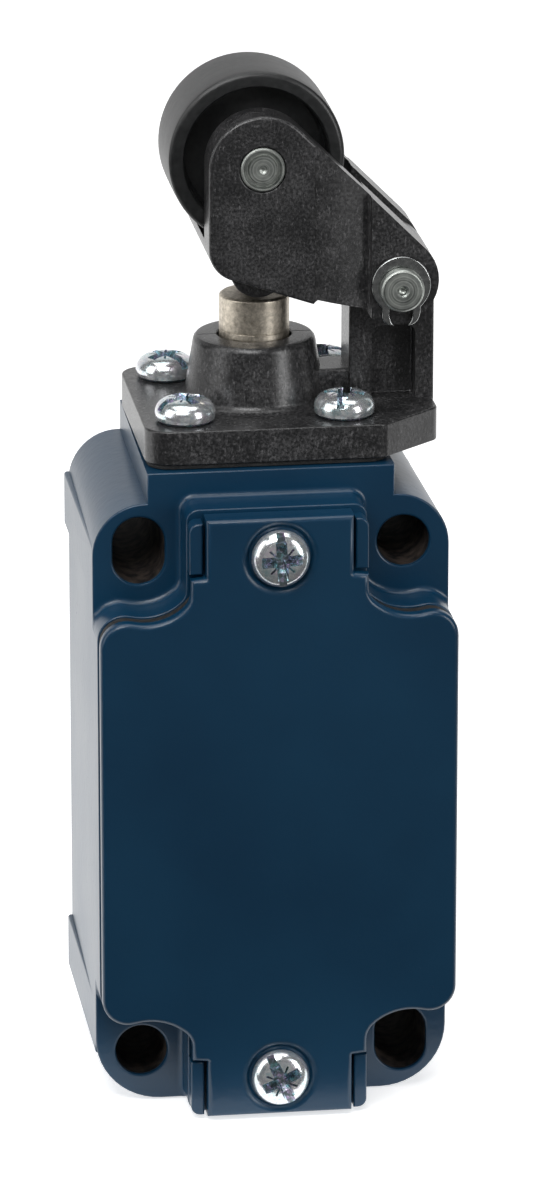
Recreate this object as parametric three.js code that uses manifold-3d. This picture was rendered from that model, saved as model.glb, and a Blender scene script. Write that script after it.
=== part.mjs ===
// Safety limit switch with a roller lever: a die-cast housing with a screwed cover, a plastic
// head whose lever presses a plunger, and a two-pole contact block inside.
//
// Millimetres. The origin is the centre of the four mounting holes on the back face.
// +X is right seen from the front, +Y points back into the wall, +Z is up.

import * as THREE from 'three';
import { mergeVertices } from 'three/addons/utils/BufferGeometryUtils.js';
import Module from 'manifold-3d';

const wasm = await Module();
wasm.setup();

// ---------------------------------------------------------------- driving dimensions

const GAP = 0.3;                     // clearance between pieces that touch

// Mounting holes
const HOLE_X = 15;                   // half the 30 mm pitch
const HOLE_Z = 30;                   // half the 60 mm pitch
const HOLE_R = 2.95;
const SLOT_REACH = 0.95;             // half the extra length of a slotted hole

// Housing
const HALF_WIDTH = 20.25;
const BACK_HALF_WIDTH = 19.7;        // the side walls have draft
const SHOULDER_Y = -30.2;            // plane of the screw shoulders
const RIM_Y = -34.8;                 // face that the cover closes on
const FRONT_Y = -38;                 // front of the cover
const FLOOR_Y = -2.5;                // inner face of the back wall
const BOSS_TOP = 35.5;
const BASE_Z = -36;
const TOP_CORNER_R = 6;
const BASE_CORNER_R = 7.5;
const NECK_HALF = 14;
const NECK_TOP = 39.0;
const WALL = 2.6;
const CAVITY_END = 25.2;             // top and bottom of the hollow on the centre line

// Cover
const TONGUE_HALF = 8.3;
const TONGUE_TOP = 35.6;
const NOTCH_Z = 28.8;                // where the tongue meets the cover's shoulders
const BAY_R = 6.3;                   // hollow in the outline round each mounting hole
const CORNER_R = 3;
const PLATE_T = 1.4;
const COVER_SCREW_Z = 31;

// Head
const AXIS_Y = -15.7;                // plunger, head and lever share this plane
const FLANGE_BOTTOM = 39.6;
const FLANGE_TOP = 43.5;
const FLANGE_DEPTH = 27.5;
const CONE_TOP = 50.9;
const BUSH = [44.2, 50.0];           // the bush is moulded in below the top of the cone
const PLUNGER_R = 4;
const PLUNGER_TOP = 55.66;
const HEAD_SCREW = 9.04;             // half the pitch of the head screws

// Lever and roller
const PIVOT = { x: 15.3, z: 58.2 };
const ROLLER = { x: -0.35, z: 72.45 };
const ROLLER_R = 10;
const ROLLER_W = 10.5;
const PIN_R = 2.5;
const LEVER_HALF = 10.3;             // half the lever's overall thickness
const LEVER_INNER = 5.85;            // half the gap that the roller turns in
const LOBE_INNER = 3.8;              // half the gap that straddles the post
const POST_HALF = 3.3;

// Contact block
const BLOCK_HALF = 16.2;
const BLOCK_FRONT = -17;
const BLOCK_BACK = FLOOR_Y - GAP;
const TERMINAL_X = 13.4;
const NC_Z = 11.9;                   // terminal pair that opens
const NO_Z = -4.2;                   // terminal pair that closes
const NC_BRIDGE = 8;
const NO_BRIDGE = -1;
const CARRIAGE_HALF = 4.2;

// ---------------------------------------------------------------- finishes

const finish = (color, roughness, metalness) =>
  new THREE.MeshStandardMaterial({ color, roughness, metalness });
const finishes = {
  paint: () => finish(0x14304c, 0.35, 0.1),
  rubber: () => finish(0x101010, 0.8, 0),
  glassNylon: () => finish(0x37363a, 0.55, 0),
  rollerNylon: () => finish(0x25282a, 0.4, 0),
  steel: () => finish(0x9a978c, 0.35, 1),
  zinc: () => finish(0xc4ccce, 0.25, 1),
  bronze: () => finish(0x8a6f4a, 0.4, 1),
  springSteel: () => finish(0xb0b0b0, 0.3, 1),
  moulding: () => finish(0x2c4a40, 0.5, 0),
  clearMoulding: () => finish(0xd8d4c4, 0.4, 0),
  brass: () => finish(0xb8963e, 0.3, 1),
  silver: () => finish(0xcfcfca, 0.25, 1),
};

// ---------------------------------------------------------------- solid helpers

function signedVolume(position, triangles) {
  const [a, b, c] = [new THREE.Vector3(), new THREE.Vector3(), new THREE.Vector3()];
  let sum = 0;
  for (let i = 0; i < triangles.length; i += 3) {
    a.fromBufferAttribute(position, triangles[i]);
    b.fromBufferAttribute(position, triangles[i + 1]);
    c.fromBufferAttribute(position, triangles[i + 2]);
    sum += a.dot(b.cross(c));
  }
  return sum;
}

// Turns a closed geometry into a solid that can be joined and cut, right side out.
function solid(geometry) {
  const bare = geometry.clone();
  bare.deleteAttribute('normal');
  bare.deleteAttribute('uv');
  const welded = mergeVertices(bare, 1e-4);
  const corners = welded.index.array;
  const triangles = [];
  for (let i = 0; i < corners.length; i += 3) {
    const [a, b, c] = [corners[i], corners[i + 1], corners[i + 2]];
    if (a !== b && b !== c && c !== a) triangles.push(a, b, c);
  }
  const position = welded.getAttribute('position');
  if (signedVolume(position, triangles) < 0) triangles.reverse();
  return new wasm.Manifold(new wasm.Mesh({
    numProp: 3,
    vertProperties: Float32Array.from(position.array),
    triVerts: Uint32Array.from(triangles),
  }));
}

const join = (...parts) => parts.reduce((all, part) => all.add(part));
const cut = (body, ...tools) => tools.reduce((rest, tool) => rest.subtract(tool), body);

function box(x, y, z) {
  const geometry = new THREE.BoxGeometry(x[1] - x[0], y[1] - y[0], z[1] - z[0]);
  geometry.translate((x[0] + x[1]) / 2, (y[0] + y[1]) / 2, (z[0] + z[1]) / 2);
  return solid(geometry);
}

// An outline in the front view (x, z) with depth along Y.
function slab(outline, y, segments = 8) {
  const geometry = new THREE.ExtrudeGeometry(outline, {
    depth: y[1] - y[0], bevelEnabled: false, curveSegments: segments,
  });
  geometry.rotateX(Math.PI / 2);
  geometry.translate(0, y[1], 0);
  return solid(geometry);
}

// An outline in the top view (x, y) with height along Z.
function deck(outline, z, segments = 6) {
  const geometry = new THREE.ExtrudeGeometry(outline, {
    depth: z[1] - z[0], bevelEnabled: false, curveSegments: segments,
  });
  geometry.translate(0, 0, z[0]);
  return solid(geometry);
}

// A profile of [radius, height] pairs turned about Z; it starts and ends on the axis.
function turned(profile, segments = 20) {
  const points = profile.map(([radius, height]) => new THREE.Vector2(radius, height));
  const geometry = new THREE.LatheGeometry(points, segments);
  geometry.rotateX(Math.PI / 2);
  return solid(geometry);
}

function uprightRod(radius, x, y, z, segments = 20) {
  const rod = turned([[0, z[0]], [radius, z[0]], [radius, z[1]], [0, z[1]]], segments);
  return rod.translate([x, y, 0]);
}

function crossRod(radius, x, z, y, segments = 20) {
  const rod = turned([[0, y[0]], [radius, y[0]], [radius, y[1]], [0, y[1]]], segments);
  return rod.rotate([-90, 0, 0]).translate([x, 0, z]);
}

function mesh(name, body, material) {
  const { vertProperties, triVerts } = body.getMesh();
  const geometry = new THREE.BufferGeometry();
  geometry.setAttribute('position', new THREE.BufferAttribute(vertProperties, 3));
  geometry.setIndex(new THREE.BufferAttribute(triVerts, 1));
  geometry.computeVertexNormals();
  const result = new THREE.Mesh(geometry, material);
  result.name = name;
  return result;
}

// ---------------------------------------------------------------- outlines

function roundedRect(x, y, radius) {
  const shape = new THREE.Shape();
  shape.absarc(x[1] - radius, y[1] - radius, radius, 0, Math.PI / 2);
  shape.absarc(x[0] + radius, y[1] - radius, radius, Math.PI / 2, Math.PI);
  shape.absarc(x[0] + radius, y[0] + radius, radius, Math.PI, 1.5 * Math.PI);
  shape.absarc(x[1] - radius, y[0] + radius, radius, 1.5 * Math.PI, 2 * Math.PI);
  return shape;
}

// The cover's outline, moved inwards by inset. Each quarter runs down its tongue, round the
// bay at the mounting hole and round the corner to the straight side. tongueHalf 0 leaves the
// tongues off, so that the top is straight between the bays.
function coverOutline(inset, tongueHalf, tongueTop) {
  const side = HALF_WIDTH - inset;
  const bayR = BAY_R + inset;
  const cornerR = Math.max(CORNER_R - inset, 0.3);
  const cornerX = side - cornerR;
  const reach = bayR + cornerR;
  const cornerZ = HOLE_Z - Math.sqrt(reach ** 2 - (HOLE_X - cornerX) ** 2);
  const turn = Math.atan2(cornerZ - HOLE_Z, cornerX - HOLE_X);
  const bayTop = tongueTop > 0 ? NOTCH_Z - 2.3 : CAVITY_END + WALL - inset;
  const bayStart = -Math.PI - Math.asin((bayTop - HOLE_Z) / bayR);
  const quarter = [];
  if (tongueTop > 0) {
    quarter.push([tongueHalf, tongueTop], [tongueHalf, NOTCH_Z]);
  }
  const steps = 6;
  for (let i = 0; i <= steps; i += 1) {
    const angle = bayStart + ((turn - bayStart) * i) / steps;
    quarter.push([HOLE_X + bayR * Math.cos(angle), HOLE_Z + bayR * Math.sin(angle)]);
  }
  for (let i = 1; i <= steps / 2; i += 1) {
    const angle = turn + Math.PI - ((turn + Math.PI) * i) / (steps / 2);
    quarter.push([cornerX + cornerR * Math.cos(angle), cornerZ + cornerR * Math.sin(angle)]);
  }
  const lower = quarter.map(([x, z]) => [x, -z]).reverse();
  const right = [...quarter, ...lower];
  const left = right.map(([x, z]) => [-x, z]).reverse();
  return new THREE.Shape([...right, ...left].map(([x, z]) => new THREE.Vector2(x, z)));
}

// Corner bosses at the base and top, and the narrower neck that carries the head.
function bodyOutline() {
  const shape = new THREE.Shape();
  shape.moveTo(NECK_HALF, NECK_TOP);
  shape.lineTo(-NECK_HALF, NECK_TOP);
  shape.lineTo(-NECK_HALF, BOSS_TOP);
  shape.absarc(-HALF_WIDTH + TOP_CORNER_R, BOSS_TOP - TOP_CORNER_R, TOP_CORNER_R,
    Math.PI / 2, Math.PI);
  shape.absarc(-HALF_WIDTH + BASE_CORNER_R, BASE_Z + BASE_CORNER_R, BASE_CORNER_R,
    Math.PI, 1.5 * Math.PI);
  shape.absarc(HALF_WIDTH - BASE_CORNER_R, BASE_Z + BASE_CORNER_R, BASE_CORNER_R,
    1.5 * Math.PI, 2 * Math.PI);
  shape.absarc(HALF_WIDTH - TOP_CORNER_R, BOSS_TOP - TOP_CORNER_R, TOP_CORNER_R,
    0, Math.PI / 2);
  shape.lineTo(NECK_HALF, BOSS_TOP);
  return shape;
}

// ---------------------------------------------------------------- housing

function mountingHole(x, z, slotted) {
  const y = [FLOOR_Y * 20, 1];
  if (!slotted) return crossRod(HOLE_R, x, z, y);
  const slot = new THREE.Shape();
  slot.absarc(x, z + SLOT_REACH, HOLE_R, 0, Math.PI);
  slot.absarc(x, z - SLOT_REACH, HOLE_R, Math.PI, 2 * Math.PI);
  return slab(slot, y, 12);
}

const ENTRY_R = 10;                  // M20 cable entry
const ENTRY_Y = -15.1;
const PILLARS = [[-12, -13, -9], [12, -13, -9], [9.0, -18.8, -8]];   // x, z, front face

function makeHousing() {
  const draft = (BACK_HALF_WIDTH / HALF_WIDTH - 1) / -SHOULDER_Y;
  const body = slab(bodyOutline(), [SHOULDER_Y, 0], 6).warp((v) => {
    v[0] *= 1 + draft * (v[1] - SHOULDER_Y);
  });
  const rim = slab(coverOutline(0, 10.2, 36), [RIM_Y, SHOULDER_Y + 1]);
  const parts = [body, rim];
  for (const side of [-1, 1]) {
    const padX = side < 0 ? [-20.2, -18] : [18, 20.2];
    parts.push(box(padX, [-29, 0], [24.2, 30.6]), box(padX, [-29, 0], [-30.6, -24.2]));
    const lugX = side < 0 ? [-10.1, -8.6] : [8.6, 10.1];
    parts.push(box(lugX, [FRONT_Y + 0.9, RIM_Y + 1], [29.1, 35]));
    parts.push(box(lugX, [FRONT_Y + 0.9, RIM_Y + 1], [-35.6, -29.1]));
  }
  const hollow = slab(coverOutline(WALL, 0, 0), [RIM_Y - 1, FLOOR_Y]);
  const pillars = PILLARS.map(([x, z, front]) => crossRod(3, x, z, [front, FLOOR_Y + 1], 16));
  const pilots = PILLARS.map(([x, z, front]) => crossRod(1.7, x, z, [front - 1, -1.5], 12));
  const holes = [];
  for (const z of [-COVER_SCREW_Z, COVER_SCREW_Z]) {
    holes.push(crossRod(1.9, 0, z, [RIM_Y - 1, -26.6], 16));
  }
  for (const x of [-HEAD_SCREW, HEAD_SCREW]) {
    for (const y of [-HEAD_SCREW, HEAD_SCREW]) {
      holes.push(uprightRod(1.9, x, AXIS_Y + y, [30.5, NECK_TOP + 1], 16));
    }
  }
  holes.push(uprightRod(7, 0, AXIS_Y, [28, NECK_TOP + 1]));
  holes.push(uprightRod(4.6, 0, AXIS_Y, [CAVITY_END - 1, 29]));
  holes.push(uprightRod(ENTRY_R, 0, ENTRY_Y, [BASE_Z - 1, -CAVITY_END + 1], 32));
  holes.push(mountingHole(-HOLE_X, HOLE_Z, true), mountingHole(HOLE_X, -HOLE_Z, true));
  holes.push(mountingHole(HOLE_X, HOLE_Z, false), mountingHole(-HOLE_X, -HOLE_Z, false));
  const shell = join(cut(join(...parts), hollow), ...pillars);
  return mesh('housing', cut(shell, ...holes, ...pilots), finishes.paint());
}

function makeCover() {
  const plate = slab(coverOutline(0, TONGUE_HALF, TONGUE_TOP), [FRONT_Y, FRONT_Y + PLATE_T]);
  const inner = slab(coverOutline(WALL, 0, 0), [FRONT_Y + PLATE_T - 0.5, RIM_Y - 0.2]);
  const tongue = (z) => box([-TONGUE_HALF, TONGUE_HALF], [FRONT_Y + 0.5, RIM_Y - 0.1], z);
  const body = join(plate, inner, tongue([28.4, TONGUE_TOP]), tongue([-TONGUE_TOP, -28.4]));
  const holes = [-COVER_SCREW_Z, COVER_SCREW_Z].map(
    (z) => crossRod(2.1, 0, z, [FRONT_Y - 1, RIM_Y + 1], 16));
  const dishes = [-COVER_SCREW_Z, COVER_SCREW_Z].map(
    (z) => crossRod(4.1, 0, z, [FRONT_Y - 1, FRONT_Y + 0.7], 24));
  return mesh('cover', cut(body, ...holes, ...dishes), finishes.paint());
}

function makeCoverGasket() {
  const y = [FRONT_Y + PLATE_T + 0.1, RIM_Y - 0.1];
  const outer = slab(coverOutline(0.4, 0, 0), y);
  const inner = slab(coverOutline(2.3, 0, 0), [y[0] - 1, y[1] + 1]);
  return mesh('cover_gasket', cut(outer, inner), finishes.rubber());
}

// ---------------------------------------------------------------- screws

// A pan-head screw that stands on z = 0 with its shank below, with a cross and a slot.
function screwBody(headR, headH, shankR, length, segments) {
  const profile = [
    [0, -length], [shankR, -length], [shankR, 0], [headR * 0.9, 0],
    [headR, headH * 0.3], [headR * 0.9, headH * 0.72], [0, headH],
  ];
  const top = [headH * 0.5, headH + 1];
  const slot = box([-headR - 1, headR + 1], [-0.4, 0.4], top);
  const cross = box([-0.4, 0.4], [-headR * 0.55, headR * 0.55], top);
  return cut(turned(profile, segments), slot, cross);
}

function screw(name, head, length, place, turn, facesFront) {
  const body = screwBody(head.r, head.h, head.shank, length, head.segments);
  const result = mesh(name, body, finishes.zinc());
  result.position.set(...place);
  if (facesFront) result.rotation.set(Math.PI / 2, 0, turn);
  else result.rotation.set(0, 0, turn);
  return result;
}

const COVER_HEAD = { r: 3.3, h: 2.3, shank: 1.6, segments: 18 };
const FLANGE_HEAD = { r: 3.45, h: 2.6, shank: 1.6, segments: 18 };
const TERMINAL_HEAD = { r: 2.7, h: 1.8, shank: 1.4, segments: 12 };

// ---------------------------------------------------------------- head

function flangeOutline() {
  const half = FLANGE_DEPTH / 2;
  const shape = new THREE.Shape();
  shape.moveTo(12.9, -half);
  shape.lineTo(19.95, -7.4);
  shape.lineTo(19.95, 7.4);
  shape.lineTo(12.9, half);
  shape.absarc(-10.9, half - 3, 3, Math.PI / 2, Math.PI);
  shape.absarc(-10.9, -half + 3, 3, Math.PI, 1.5 * Math.PI);
  return shape;
}

// The post that carries the pivot: an I-section with a rounded top about the pivot.
function makePost() {
  const outline = new THREE.Shape();
  outline.moveTo(10.4, FLANGE_TOP - 1);
  outline.lineTo(20.2, FLANGE_TOP - 1);
  outline.lineTo(20.2, PIVOT.z);
  outline.absarc(PIVOT.x, PIVOT.z, 4.9, 0, Math.PI);
  const post = slab(outline, [-POST_HALF, POST_HALF], 10);
  const pocket = roundedRect([13, 18], [FLANGE_TOP, 52.1], 0.9);
  const front = slab(pocket, [-POST_HALF - 1, -1], 4);
  const back = slab(pocket, [1, POST_HALF + 1], 4);
  return cut(post, front, back);
}

function makeActuatorHead() {
  const flange = deck(flangeOutline(), [FLANGE_BOTTOM, FLANGE_TOP]);
  const cone = turned([
    [0, FLANGE_TOP - 1], [8.1, FLANGE_TOP - 1], [7.95, FLANGE_TOP], [6.95, CONE_TOP - 0.7],
    [6.2, CONE_TOP], [0, CONE_TOP],
  ], 24);
  const rib = box([5, 11], [-2.8, 2.8], [FLANGE_TOP - 1, 47]);
  const bushSeat = uprightRod(5.5, 0, 0, [44, BUSH[1] + 0.1]);
  const plungerBore = uprightRod(PLUNGER_R + 0.25, 0, 0, [BUSH[1], CONE_TOP + 1]);
  const chamber = uprightRod(6.7, 0, 0, [FLANGE_BOTTOM - 1, 44.1]);
  const pivotBore = crossRod(PIN_R + 0.1, PIVOT.x, PIVOT.z, [-POST_HALF - 1, POST_HALF + 1]);
  const screwHoles = headScrewPlaces().map(([x, y]) =>
    uprightRod(2.2, x, y, [FLANGE_BOTTOM - 1, FLANGE_TOP + 1], 16));
  const body = join(flange, cone, rib, makePost());
  const bored = cut(body, bushSeat, plungerBore, chamber, pivotBore, ...screwHoles);
  return mesh('actuator_head', bored, finishes.glassNylon());
}

function headScrewPlaces() {
  const places = [];
  for (const y of [-HEAD_SCREW, HEAD_SCREW]) {
    for (const x of [-HEAD_SCREW, HEAD_SCREW]) places.push([x, y]);
  }
  return places;
}

function makeHeadGasket() {
  const half = FLANGE_DEPTH / 2 - 0.3;
  const sheet = deck(roundedRect([-13.6, 13.6], [-half, half], 2.5), [39.05, 39.55]);
  const holes = headScrewPlaces().map(([x, y]) => uprightRod(2.2, x, y, [38, 41], 16));
  return mesh('head_gasket', cut(sheet, uprightRod(7, 0, 0, [38, 41]), ...holes),
    finishes.rubber());
}

function makeGuideBush() {
  const bore = uprightRod(PLUNGER_R + 0.15, 0, 0, [BUSH[0] - 1, BUSH[1] + 1], 24);
  return mesh('guide_bush', cut(uprightRod(5.35, 0, 0, BUSH, 24), bore), finishes.bronze());
}

function makePlungerSeal() {
  const ring = turned([[0, 40.6], [6.3, 40.6], [6.3, 43.6], [0, 43.6]]);
  return mesh('plunger_seal', cut(ring, uprightRod(PLUNGER_R + 0.2, 0, 0, [39, 45])),
    finishes.rubber());
}

const SPRING_SEAT = 28.3;
const COLLAR_Z = [37.2, 38.7];
const PLUNGER_FOOT = 24.8;

function makePlunger() {
  const body = turned([
    [0, PLUNGER_FOOT], [3.5, PLUNGER_FOOT], [PLUNGER_R, PLUNGER_FOOT + 0.5],
    [PLUNGER_R, COLLAR_Z[0]], [6.2, COLLAR_Z[0]], [6.2, COLLAR_Z[1]],
    [PLUNGER_R, COLLAR_Z[1]], [PLUNGER_R, PLUNGER_TOP - 0.35],
    [PLUNGER_R - 0.35, PLUNGER_TOP], [0, PLUNGER_TOP],
  ], 24);
  return mesh('plunger', body, finishes.steel());
}

class Helix extends THREE.Curve {
  constructor(radius, z, turns) {
    super();
    this.radius = radius;
    this.z = z;
    this.turns = turns;
  }

  getPoint(t, target = new THREE.Vector3()) {
    const angle = 2 * Math.PI * this.turns * t;
    const height = this.z[0] + (this.z[1] - this.z[0]) * t;
    return target.set(this.radius * Math.cos(angle), this.radius * Math.sin(angle), height);
  }
}

function spring(name, radius, wire, z, turns) {
  const section = new THREE.Shape();
  section.absarc(0, 0, wire, 0, 2 * Math.PI);
  const geometry = new THREE.ExtrudeGeometry(section, {
    extrudePath: new Helix(radius, [z[0] + wire, z[1] - wire], turns),
    steps: Math.round(turns * 9), curveSegments: 3, bevelEnabled: false,
  });
  return mesh(name, solid(geometry), finishes.springSteel());
}

// ---------------------------------------------------------------- lever, in the pivot's frame

const fromPivot = (x, z) => [x - PIVOT.x, z - PIVOT.z];

// Side view of one lever plate: a round top about the roller pin, a straight left edge, a
// slanting underside and a lobe about the pivot, joined by a 45 degree upper edge.
function leverOutline() {
  const [rx, rz] = fromPivot(ROLLER.x, ROLLER.z);
  const [lx, lz] = fromPivot(14.7, 58.9);
  const shape = new THREE.Shape();
  shape.absarc(lx, lz, 5, -2.14, Math.PI / 4);
  shape.absarc(rx, rz, 6.05, Math.PI / 4, Math.PI);
  shape.absarc(rx - 6.05 + 3.7, 63.3 - PIVOT.z, 3.7, Math.PI, 1.5 * Math.PI - 0.27);
  shape.lineTo(...fromPivot(5.4, 56.7));
  shape.lineTo(...fromPivot(5.9, 57.1));
  shape.lineTo(...fromPivot(12, 55.4));
  return shape;
}

function makeLeverPlate(side) {
  const outer = side * LEVER_HALF;
  const inner = side * LEVER_INNER;
  const plate = slab(leverOutline(), [Math.min(outer, inner), Math.max(outer, inner)], 8);
  const [edgeX] = fromPivot(11.6, 0);
  const lobeInner = side * LOBE_INNER;
  const thick = slab(leverOutline(), [Math.min(outer, lobeInner), Math.max(outer, lobeInner)], 8);
  const beyond = box([edgeX, 10], [-12, 12], [-10, 15]);
  const scoop = new THREE.Shape();
  scoop.moveTo(fromPivot(5.4, 0)[0], side * (LEVER_HALF - 0.5));
  scoop.lineTo(fromPivot(11.95, 0)[0], side * (LEVER_HALF - 2));
  scoop.lineTo(fromPivot(12, 0)[0], side * (LEVER_HALF - 0.9));
  scoop.lineTo(10, side * (LEVER_HALF - 0.9));
  scoop.lineTo(10, side * (LEVER_HALF + 1));
  scoop.lineTo(fromPivot(5.4, 0)[0], side * (LEVER_HALF + 1));
  const relief = deck(scoop, [-10, 30]);
  return cut(join(plate, thick.intersect(beyond)), relief);
}

function makeLever() {
  const [rx, rz] = fromPivot(ROLLER.x, ROLLER.z);
  const web = new THREE.Shape();
  web.absarc(rx - 6.05 + 3.7, 63.3 - PIVOT.z, 3.7, Math.PI, 1.5 * Math.PI - 0.27);
  web.lineTo(...fromPivot(5.4, 56.7));
  web.lineTo(...fromPivot(8, 56.5));
  web.lineTo(...fromPivot(8, 66));
  web.lineTo(...fromPivot(-6.4, 66));
  const bar = slab(web, [-LEVER_INNER - 0.5, LEVER_INNER + 0.5], 10);
  const room = crossRod(ROLLER_R + 0.7, rx, rz, [-LEVER_INNER, LEVER_INNER], 28);
  const padR = 3.2;
  const [padX, padZ] = fromPivot(0, PLUNGER_TOP + GAP + padR);
  const pad = crossRod(padR, padX, padZ, [-3.9, 3.9], 20);
  const body = join(makeLeverPlate(-1), makeLeverPlate(1), cut(join(bar, pad), room));
  const pivotBore = crossRod(PIN_R + 0.15, 0, 0, [-12, 12]);
  const rollerBore = crossRod(PIN_R + 0.1, rx, rz, [-12, 12]);
  return mesh('roller_lever', cut(body, pivotBore, rollerBore), finishes.glassNylon());
}

function makeRoller() {
  const half = ROLLER_W / 2;
  const profile = [
    [PIN_R + 0.2, -half], [4.6, -half], [4.6, -1.6], [8.16, -1.6], [8.16, -half],
    [9.5, -half], [ROLLER_R, -half + 0.5], [ROLLER_R, half - 0.5], [9.5, half],
    [8.16, half], [8.16, 1.6], [4.6, 1.6], [4.6, half], [PIN_R + 0.2, half],
    [PIN_R + 0.2, -half],
  ];
  const result = mesh('roller', turned(profile, 32), finishes.rollerNylon());
  result.rotation.x = Math.PI / 2;
  return result;
}

function makeRollerPin() {
  const end = LEVER_HALF + 0.05;
  const pin = turned([
    [0, -end], [2.3, -end], [PIN_R, -end + 0.2], [PIN_R, end - 0.2], [2.3, end], [0, end],
  ]);
  const result = mesh('roller_pin', pin, finishes.steel());
  result.rotation.x = Math.PI / 2;
  return result;
}

// Along +Z of its own frame, which points to the front: a rear head, and a front groove.
function makePivotPin() {
  const pin = turned([
    [0, -11.9], [2.9, -11.9], [3.2, -11.6], [3.2, -10.6], [PIN_R, -10.6], [PIN_R, 9.5],
    [1.95, 9.5], [1.95, 10.3], [PIN_R, 10.3], [PIN_R, 11.1], [2.25, 11.4], [0, 11.4],
  ]);
  const result = mesh('pivot_pin', pin, finishes.steel());
  result.rotation.x = Math.PI / 2;
  return result;
}

// A flat horseshoe snap ring whose legs close below the pin.
function makePivotClip() {
  const ring = new THREE.Shape();
  ring.moveTo(-0.75, -4.35);
  ring.quadraticCurveTo(-2.3, -4.2, -2.15, -2.9);
  ring.absarc(0, 0.35, 3.35, Math.PI + 0.85, -0.85, true);
  ring.quadraticCurveTo(2.3, -4.2, 0.75, -4.35);
  ring.quadraticCurveTo(1.6, -3.4, 1.15, -2.2);
  ring.absarc(0, 0, 2.1, -0.98, Math.PI + 0.98, false);
  ring.quadraticCurveTo(-1.6, -3.4, -0.75, -4.35);
  return mesh('pivot_clip', slab(ring, [-10.2, -9.6], 8), finishes.springSteel());
}

// ---------------------------------------------------------------- contact block

function makeContactBlock() {
  const front = BLOCK_FRONT;
  const back = BLOCK_BACK;
  const body = box([-BLOCK_HALF, BLOCK_HALF], [front, back], [-10, 18]);
  const ears = box([-BLOCK_HALF, BLOCK_HALF], [-12.3, -9.3], [-15.4, -9]);
  const tail = box([-5.7, 5.7], [front, back], [-20.5, -9]);
  const channel = box([-4.6, 4.6], [front - 1, -11.4], [-19, 19]);
  const pocket = box([-11.8, 11.8], [front - 1, -13.9], [-8.1, 10.4]);
  const holes = [-12, 12].map((x) => crossRod(1.8, x, -13, [-13, -9], 12));
  for (const x of [-TERMINAL_X, TERMINAL_X]) {
    for (const z of [NC_Z, NO_Z]) holes.push(crossRod(1.7, x, z, [front - 1, -8], 12));
  }
  return mesh('contact_block', cut(join(body, ears, tail), channel, pocket, ...holes),
    finishes.moulding());
}

function makeContactBlockCover() {
  const front = BLOCK_FRONT - GAP;
  const plate = box([-8.1, 8.1], [-22.2, front], [-10, 18]);
  const channel = box([-4.6, 4.6], [-20.3, front + 1], [-11, 19]);
  return mesh('contact_block_cover', cut(plate, channel), finishes.clearMoulding());
}

// The slider that the plunger pushes: a bar with a window for each moving bridge.
function makeCarriage() {
  const bar = box([-CARRIAGE_HALF, CARRIAGE_HALF], [-19.7, -11.8], [-9, 15]);
  const stem = uprightRod(3, 0, AXIS_Y, [14, PLUNGER_FOOT - GAP], 20);
  const window = (z) => box([-6, 6], [-17.6, -13.8], z);
  const body = cut(join(bar, stem), window([3.9, NC_BRIDGE + 0.9]),
    window([NO_BRIDGE - 0.7, 3.1]));
  return mesh('contact_carriage', body, finishes.clearMoulding());
}

// A bridge with a button under or over each end: tipSide 1 points the buttons up.
function makeBridge(name, z, tipSide) {
  const bar = box([-11.2, 11.2], [AXIS_Y - 1.5, AXIS_Y + 1.5], [z - 0.4, z + 0.4]);
  const tips = [-9.8, 9.8].map((x) => uprightRod(1.1, x, AXIS_Y,
    tipSide > 0 ? [z, z + 0.7] : [z - 0.7, z], 14));
  return mesh(name, join(bar, ...tips), finishes.silver());
}

// An angle of strip: a shelf with a contact button inside, and a plate under the terminal.
function makeFixedContact(name, side, shelf, plateTop, terminalZ, tipSide) {
  const near = 8.5 * side;
  const far = BLOCK_HALF * side;
  const shelfEnd = 11.5 * side;
  const sorted = (a, b) => [Math.min(a, b), Math.max(a, b)];
  const plate = box(sorted(near, far), [-18.1, -17.3], sorted(shelf, plateTop));
  const tab = box(sorted(near, shelfEnd), [-18.1, -14.2], [shelf, shelf + 0.8]);
  const tip = uprightRod(1.1, 9.8 * side, AXIS_Y,
    tipSide > 0 ? [shelf + 0.4, shelf + 1.1] : [shelf - 0.3, shelf + 0.4], 14);
  const hole = crossRod(1.7, TERMINAL_X * side, terminalZ, [-19, -17], 12);
  return mesh(name, cut(join(plate, tab, tip), hole), finishes.brass());
}

function makeClamp(name, x, y, z) {
  const half = 2.7;
  const plate = box([x - half, x + half], [y - 1.1, y], [z - half, z + half]);
  return mesh(name, cut(plate, crossRod(1.7, x, z, [y - 2, y + 1], 12)), finishes.zinc());
}

// ---------------------------------------------------------------- assembly

const limitSwitch = new THREE.Group();
limitSwitch.add(makeHousing(), makeCover(), makeCoverGasket());
for (const [name, z, turn] of [['top', 1, 0.12], ['bottom', -1, 0.5]]) {
  const place = [0, FRONT_Y + 0.6, z * COVER_SCREW_Z];
  limitSwitch.add(screw(`cover_screw_${name}`, COVER_HEAD, 9, place, turn, true));
}

const head = new THREE.Group();
head.position.y = AXIS_Y;
head.add(makeActuatorHead(), makeHeadGasket(), makeGuideBush(), makePlungerSeal());
head.add(makePlunger());
head.add(spring('plunger_spring', 5.5, 0.45, [SPRING_SEAT, COLLAR_Z[0] - 0.2], 3.5));
headScrewPlaces().forEach(([x, y], i) => {
  const place = [x, y, FLANGE_TOP + 0.1];
  head.add(screw(`head_screw_${i + 1}`, FLANGE_HEAD, 11.5, place, 0.4 + i * 0.9, false));
});

const pivot = new THREE.Group();
pivot.position.set(PIVOT.x, 0, PIVOT.z);
const axle = new THREE.Group();
axle.position.set(ROLLER.x - PIVOT.x, 0, ROLLER.z - PIVOT.z);
axle.add(makeRoller(), makeRollerPin());
pivot.add(makeLever(), axle, makePivotPin(), makePivotClip());
head.add(pivot);
limitSwitch.add(head);

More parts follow.
